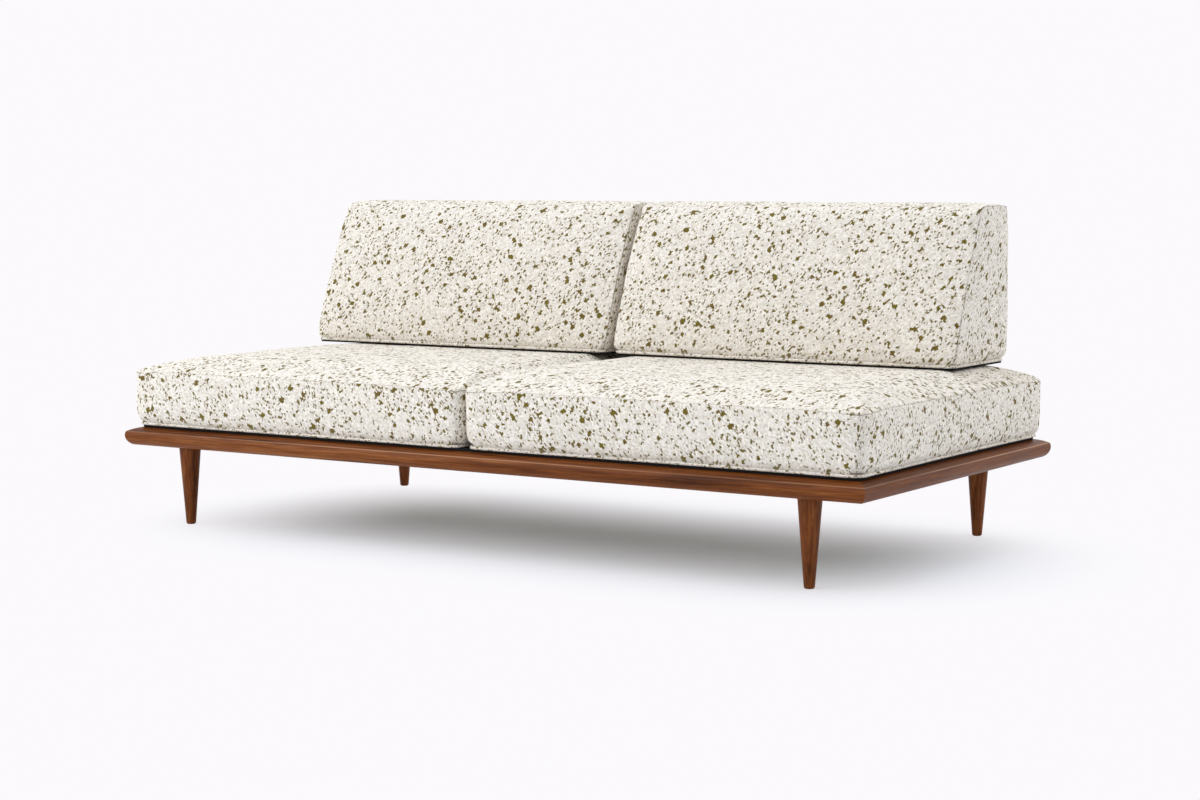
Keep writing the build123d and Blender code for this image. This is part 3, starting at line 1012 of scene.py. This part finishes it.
def inset_ring(ring, inset):
    """A level closed path moved inwards"""
    ahead = ahead_of(ring)
    moved = ring.copy()
    moved[:, :2] -= inset * np.column_stack([ahead[:, 1], -ahead[:, 0]])
    return moved


SOFT_STEPS = 12


def softened(path, bend, pitch):
    """A closed path whose corners are taken more gently"""
    steps = np.arange(-SOFT_STEPS, SOFT_STEPS + 1)
    weights = np.exp(-0.5 * (steps * pitch / bend) ** 2)
    return sum(w * np.roll(path, -int(s), 0) for s, w in zip(steps, weights)) / weights.sum()


WELT_SIDES = 12
WELT_PITCH = 0.004
# A welt's girth: share of its full size, how far it wanders, its most, and the angle and drift of each step
WELT_FILL = 0.97
PUCKER = 0.06
MOST_PUCKER = 1.03
PUCKER_TURN = 1.9
PUCKER_DRIFT = 0.5
# Where on the cloth the welts' strips are cut
WELT_CLOTH = (11.0, 4.0)


class SOFA_OT_welts(bpy.types.Operator):
    """Sews a fabric-covered welt round the foot of each cushion"""

    bl_idname = "sofa.welts"
    bl_label = "Foot welts"

    def execute(self, context):
        scene = context.scene
        sewing = scene.sofa_sewing
        weave = cover_weave(scene)
        radius = sewing.welt / 2
        for number, name in enumerate(CUSHIONS):
            if name.startswith("seat"):
                home, span, xs, ys = seat_plan(name, sewing)
                ring = self.level_ring(xs, ys, radius)
                outline = seat_shape(ring, span, scene.sofa_seat, sewing, 0, 1, tucked=False)
            else:
                home, span, xs, ys = bolster_plan(name, scene.sofa_bolster, sewing)
                ring = self.level_ring(xs, ys, radius)
                outline = bolster_shape(ring, span, scene.sofa_bolster, sewing, tucked=False)
            path = even_path(inset_ring(outline, radius + sewing.welt_inset), WELT_PITCH)
            path = softened(path, sewing.welt_bend, WELT_PITCH) + np.array(home)
            draw = np.random.default_rng(SEEDS["welt"] + number)
            turns = np.arange(len(path)) * PUCKER_TURN + draw.normal(0, PUCKER_DRIFT, len(path))
            girth = radius * WELT_FILL * np.minimum(1 + PUCKER * np.sin(turns), MOST_PUCKER)
            points, faces, cloth = tube(path, girth, WELT_SIDES)
            cloth += (WELT_CLOTH[0] + number, WELT_CLOTH[1])
            welt = mesh_piece(f"{name}_foot_welt", points, faces, weave, cloth)
            # Painted shade on the lower half of each welt, where it turns away from the light
            painted_underside_shade = np.maximum(0, -np.sin(FULL_TURN * np.arange(WELT_SIDES) / WELT_SIDES))
            mark_points(welt, np.tile(painted_underside_shade, len(path)))
            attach(welt, f"{name}_cushion")
            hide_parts(f"{name}_welt")
        return {"FINISHED"}

    @staticmethod
    def level_ring(xs, ys, level):
        """Points round the edge of a level grid"""
        return ring_of(np.stack(np.meshgrid(xs, ys, [level], indexing="ij"), -1)[:, :, 0])


# A stitch's shape along it: place as a share of its length, and thickness as a share of the thread's
STITCH_PROFILE = ((-0.5, 0.25), (-0.34, 0.85), (0.0, 1.0), (0.34, 0.85), (0.5, 0.25))
STITCH_SINK = 0.9
STITCH_SIDES = 6
# Seam stitches: length as a share of the pitch, thread, and how far above the foot they begin
STITCH_SHARE = 0.72
SEAM_THREAD = 0.0011
STITCH_START = 0.012


def stitch_mesh(spots, ahead, facing, stitch_length, thickness):
    """One small padded dash for each spot, whose ends sink into the cloth"""
    shift, width = np.array(STITCH_PROFILE).T
    sink = thickness * STITCH_SINK * (2 * shift[:, None]) ** 2
    path = spots[:, None] + ahead[:, None] * shift[:, None] * stitch_length - facing[:, None] * sink
    out = np.cross(ahead, facing)[:, None]
    return capped_tubes(rings_round(path, out, facing[:, None], thickness / 2 * width, STITCH_SIDES))


class SOFA_OT_seam_stitches(bpy.types.Operator):
    """Stitches the seams of the covers"""

    bl_idname = "sofa.seam_stitches"
    bl_label = "Seam stitches"

    def execute(self, context):
        pitch = context.scene.sofa_sewing.stitch_pitch
        threads = {
            "bolster": plain_weave("umber_thread", (0.10, 0.075, 0.045), 0.0006),
            "seat": plain_weave("taupe_thread", (0.34, 0.29, 0.21), 0.0006),
        }
        for name in CUSHIONS:
            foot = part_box(f"{name}_cover")[0].z
            rows = []
            for line, facing in SEAMS[name]:
                path = even_path(np.hstack([line, facing]), pitch)
                spots = path[:, :3]
                shown = spots[:, 2] > foot + STITCH_START
                ahead = ahead_of(spots)[shown]
                out = unit(path[shown, 3:])
                rows.append(stitch_mesh(spots[shown], ahead, out, pitch * STITCH_SHARE, SEAM_THREAD))
            stitches = mesh_piece(f"{name}_stitches", *joined(rows), threads[name.split("_")[0]])
            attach(stitches, f"{name}_cushion")
        return {"FINISHED"}


# One half of a zip's tape: place across as a share of its half width, and thickness
TAPE_EDGE = ((-1, 0.0), (-0.985, 0.0007), (-0.93, 0.0009), (-0.5, 0.0008), (-0.27, 0.00095), (-0.22, 0.0005))
TAPE_STEPS = 60
# One loop of the coil: along the zip, out from the cover and across
TOOTH_PATH = (
    (-0.0003, 0.0009, 0.0030),
    (-0.0001, 0.0022, 0.0026),
    (0.0001, 0.0023, 0),
    (0.0004, 0.0018, -0.0012),
)
TOOTH_PITCH = 0.0020
TOOTH_RADIUS = 0.00042
TOOTH_SIDES = 6
COIL_MARGIN = 0.008
STOP_SPANS = (0.0030, 0.0018, 0.0080)
STOP_RISE = 0.0017
# Rows of stitches along the tape: in from its edges and its end, out from the cover, spacing, length, thread
ROW_INSET = 0.0035
ROW_START = 0.002
ROW_RISE = 0.0010
ROW_PITCH = 0.0045
ROW_STITCH = 0.0034
ROW_THREAD = 0.0007


class SOFA_OT_zips(bpy.types.Operator):
    """Makes each back zip: woven tape, coil teeth, end stops and its rows of stitching"""

    bl_idname = "sofa.zips"
    bl_label = "Zips"

    def execute(self, context):
        tape = plain_weave("zip_tape_weave", (0.62, 0.565, 0.475), 0.0011)
        teeth = nylon("coil_teeth", (0.50, 0.45, 0.37))
        thread = plain_weave("cream_thread", (0.78, 0.73, 0.64), 0.0006)
        for name in CUSHIONS:
            low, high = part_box(f"{name}_zip")
            middle = (low.z + high.z) / 2
            woven = mesh_piece(f"{name}_zip_tape", *self.tape(low, high, middle), tape)
            coil = mesh_piece(f"{name}_zip_coil", *self.coil(low, high, middle), teeth)
            rows = mesh_piece(f"{name}_zip_stitches", *self.rows(low, high), thread)
            for piece in (woven, coil, rows):
                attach(piece, f"{name}_cushion")
            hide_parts(f"{name}_zip")
        return {"FINISHED"}

    def tape(self, low, high, middle):
        """A thin tape with rolled edges and a raised rib beside the coil"""
        half = (high.z - low.z) / 2
        profile = [*TAPE_EDGE, *((-across, rise) for across, rise in reversed(TAPE_EDGE))]
        points = [
            (x, low.y + rise, middle + half * across)
            for x in np.linspace(low.x, high.x, TAPE_STEPS + 1)
            for across, rise in profile
        ]
        return points, quads_of(np.arange(len(points)).reshape(-1, len(profile)).T)

    def coil(self, low, high, middle):
        """Interlocked coil: slanted loops from each side that meet in the middle, between two stops"""
        start = low.x + COIL_MARGIN
        run = high.x - low.x - 2 * COIL_MARGIN
        count = int(run / TOOTH_PITCH)
        homes = [(start + (i + 0.5) * run / count, low.y, middle) for i in range(count)]
        ways = [(1, 1, 1 if i % 2 else -1) for i in range(count)]
        path = np.array(homes)[:, None] + np.array(TOOTH_PATH) * np.array(ways)[:, None]
        ahead = unit(np.gradient(path, axis=1))
        out = unit(np.cross(ahead, (1.0, 0, 0)))
        teeth = capped_tubes(rings_round(path, out, np.cross(out, ahead), TOOTH_RADIUS, TOOTH_SIDES))
        ends = (start + STOP_SPANS[0] / 2, start + run - STOP_SPANS[0] / 2)
        return joined([teeth, *(soft_block((x, low.y + STOP_RISE, middle), STOP_SPANS) for x in ends)])

    def rows(self, low, high):
        """A row of stitches along each edge of the tape"""
        count = int((high.x - low.x) / ROW_PITCH)
        spots = np.array([
            (low.x + ROW_START + i * ROW_PITCH, low.y + ROW_RISE, z)
            for z in (low.z + ROW_INSET, high.z - ROW_INSET)
            for i in range(count)
        ])
        ahead, facing = (np.tile(way, (len(spots), 1)) for way in ((1.0, 0, 0), (0, 1.0, 0)))
        return stitch_mesh(spots, ahead, facing, ROW_STITCH, ROW_THREAD)


def soft_block(middle, spans):
    """A block with rounded edges"""
    steps = np.array((-1, -0.8, 0, 0.8, 1))
    flat, panels, _ = lattice(steps, steps, steps)
    inner = 0.6
    bent = rounded(np.clip((np.abs(flat) - inner) / (1 - inner), 0, 1))
    soft = np.sign(flat) * (np.minimum(np.abs(flat), inner) + bent * (1 - inner))
    points = np.array(middle) + soft * np.array(spans) / 2
    return points.tolist(), np.concatenate([quads_of(grid) for grid in panels.values()]).tolist()


# Stage

# The line under the sofa from which the floor's distances are taken, and where the painted cool tint and the
# backdrop begin and end; the backdrop's glow begins at that line, so it is painted light over the outer part
# of the shadow
SHADOW_MIDDLE = (0.13, -0.05)
SHADOW_HALF = 0.49
TINT_FADE = (0.15, 0.75)
BACKDROP_FADE = (0.0, 0.80)
FLOOR_REACH = 30

# Level direction of the room's dark side, and how closely a direction must point there to be dimmed
DARK_WAY = (0.60, -0.80, 0.0)
DARK_FADE = (0.25, 0.85)
SKY_TINT = (0.985, 0.99, 1.0)

# Place, target, spans and tint of each lamp
LAMPS = {
    "overhead": ((-0.3, 0.0, 3.4), (-0.1, -0.05, 0.0), (5.0, 3.6), (0.74, 0.872, 1)),
    "front": ((-2.6, -4.2, 1.3), (0.0, 0.0, 0.2), (3.4, 1.4), (0.98, 0.99, 1)),
    "back": ((-0.3, 3.0, 0.5), (0.0, 0.0, 0.0), (5.0, 0.8), (0.86, 0.93, 1)),
    "end": ((4.2, 1.4, 1.2), (0.9, 0.0, 0.3), (2.4, 2.0), (1, 1, 1)),
}


class SOFA_OT_stage(bpy.types.Operator):
    """Sets up the floor, the light and the camera"""

    bl_idname = "sofa.stage"
    bl_label = "Stage"

    def execute(self, context):
        stage = context.scene.sofa_stage
        self.floor(stage)
        self.surroundings(context.scene, stage)
        for name, facts in LAMPS.items():
            self.lamp(context.scene, f"{name}_light", getattr(stage, name), *facts)
        self.camera(context.scene, stage)
        context.scene.view_settings.view_transform = "Standard"
        return {"FINISHED"}

    def floor(self, stage):
        """Pale floor that keeps the core of the shadow under the sofa, with a painted cooler tint there,
        fades into the backdrop's glow over the shadow's outer part as painted light, and is clear from below
        """
        f = Finish("pale_floor")
        spot = f.spot()
        along = f.math("ABSOLUTE", f.math("SUBTRACT", f.part(spot, 0), SHADOW_MIDDLE[0]))
        past_end = f.math("MAXIMUM", f.math("SUBTRACT", along, SHADOW_HALF), 0.0)
        away = f.distance(past_end, f.math("SUBTRACT", f.part(spot, 1), SHADOW_MIDDLE[1]))
        # Painted light: the cooler tint in the shadow offsets the warm light bounced off the wood
        tone = f.mix(f.fade(away, *TINT_FADE), stage.painted_cool_floor, stage.floor)
        f.done(tone, 0.7, Specular_IOR_Level=0.15)
        glow = f.node("Emission", {"Color": stage.backdrop, "Strength": 1.0}).outputs[0]
        # Painted light: the camera sees the backdrop's glow over the floor from the shadow's middle outwards,
        # which narrows the shadow
        shown = f.math("MULTIPLY", f.fade(away, *BACKDROP_FADE), f.seen_plainly())
        above = f.shaders(shown, f.shader.outputs[0], glow)
        below = f.node("NewGeometry").outputs["Backfacing"]
        clear = f.math("MULTIPLY", below, f.node("LightPath").outputs["Is Camera Ray"])
        surface = f.shaders(clear, above, f.node("BsdfTransparent").outputs[0])
        f.put(f.tree.nodes["Material Output"].inputs["Surface"], surface)
        corners = [(FLOOR_REACH * x, FLOOR_REACH * y, 0) for x, y in ((-1, -1), (1, -1), (1, 1), (-1, 1))]
        mesh_piece("floor", corners, [(0, 1, 2, 3)], f.material)

    def surroundings(self, scene, stage):
        """Soft light from all round but the dark side of the room; the backdrop where it is seen itself"""
        world = bpy.data.worlds.new("white_room")
        scene.world = world
        world.use_nodes = True
        world.node_tree.nodes.clear()
        f = Nodes(world.node_tree)
        facing = f.vector("DOT_PRODUCT", f.node("TexCoord").outputs["Generated"], DARK_WAY)["Value"]
        strength = f.fade(facing, *DARK_FADE, stage.sky, stage.sky * stage.dark_side)
        soft = f.node("Background", {"Color": SKY_TINT, "Strength": strength}).outputs[0]
        shown = f.node("Background", {"Color": stage.backdrop, "Strength": 1.0}).outputs[0]
        f.node("OutputWorld", {0: f.shaders(f.seen_plainly(), soft, shown)})

    def lamp(self, scene, name, power, spot, target, spans, tint):
        lamp = bpy.data.lights.new(name, "AREA")
        lamp.shape = "RECTANGLE"
        lamp.size, lamp.size_y = spans
        lamp.energy = power
        lamp.color = tint
        holder = bpy.data.objects.new(name, lamp)
        holder.location = spot
        holder.rotation_euler = (Vector(target) - Vector(spot)).to_track_quat("-Z", "Y").to_euler()
        scene.collection.objects.link(holder)

    def camera(self, scene, stage):
        eye = bpy.data.cameras.new("camera")
        eye.sensor_width = 36
        eye.lens = stage.lens
        eye.clip_end = 200
        holder = bpy.data.objects.new("camera", eye)
        holder.location = stage.camera_place
        holder.rotation_euler = (math.pi / 2 - stage.camera_tilt, 0, stage.camera_turn)
        scene.collection.objects.link(holder)
        scene.camera = holder


OPERATORS = (
    SOFA_OT_frame_finish,
    SOFA_OT_seat_cushions,
    SOFA_OT_bolsters,
    SOFA_OT_welts,
    SOFA_OT_seam_stitches,
    SOFA_OT_zips,
    SOFA_OT_stage,
)


class SOFA_PT_panel(bpy.types.Panel):
    """Sofa tools and their sizes"""

    bl_label = "Platform sofa"
    bl_idname = "SOFA_PT_panel"
    bl_space_type = "VIEW_3D"
    bl_region_type = "UI"
    bl_category = "Sofa"

    def draw(self, context):
        for operator in OPERATORS:
            self.layout.operator(operator.bl_idname)
        for name, group in SETTINGS.items():
            box = self.layout.box()
            box.label(text=group.__doc__)
            for setting in group.__annotations__:
                box.prop(getattr(context.scene, name), setting)


def register():
    for name, group in SETTINGS.items():
        bpy.utils.register_class(group)
        setattr(bpy.types.Scene, name, PointerProperty(type=group))
    for kind in (*OPERATORS, SOFA_PT_panel):
        bpy.utils.register_class(kind)


def unregister():
    for kind in (SOFA_PT_panel, *reversed(OPERATORS)):
        bpy.utils.unregister_class(kind)
    for name, group in SETTINGS.items():
        delattr(bpy.types.Scene, name)
        bpy.utils.unregister_class(group)


def main():
    register()
    bpy.ops.sofa.frame_finish()
    bpy.ops.sofa.seat_cushions()
    bpy.ops.sofa.bolsters()
    bpy.ops.sofa.welts()
    bpy.ops.sofa.seam_stitches()
    bpy.ops.sofa.zips()
    bpy.ops.sofa.stage()


if __name__ == "__main__":
    main()
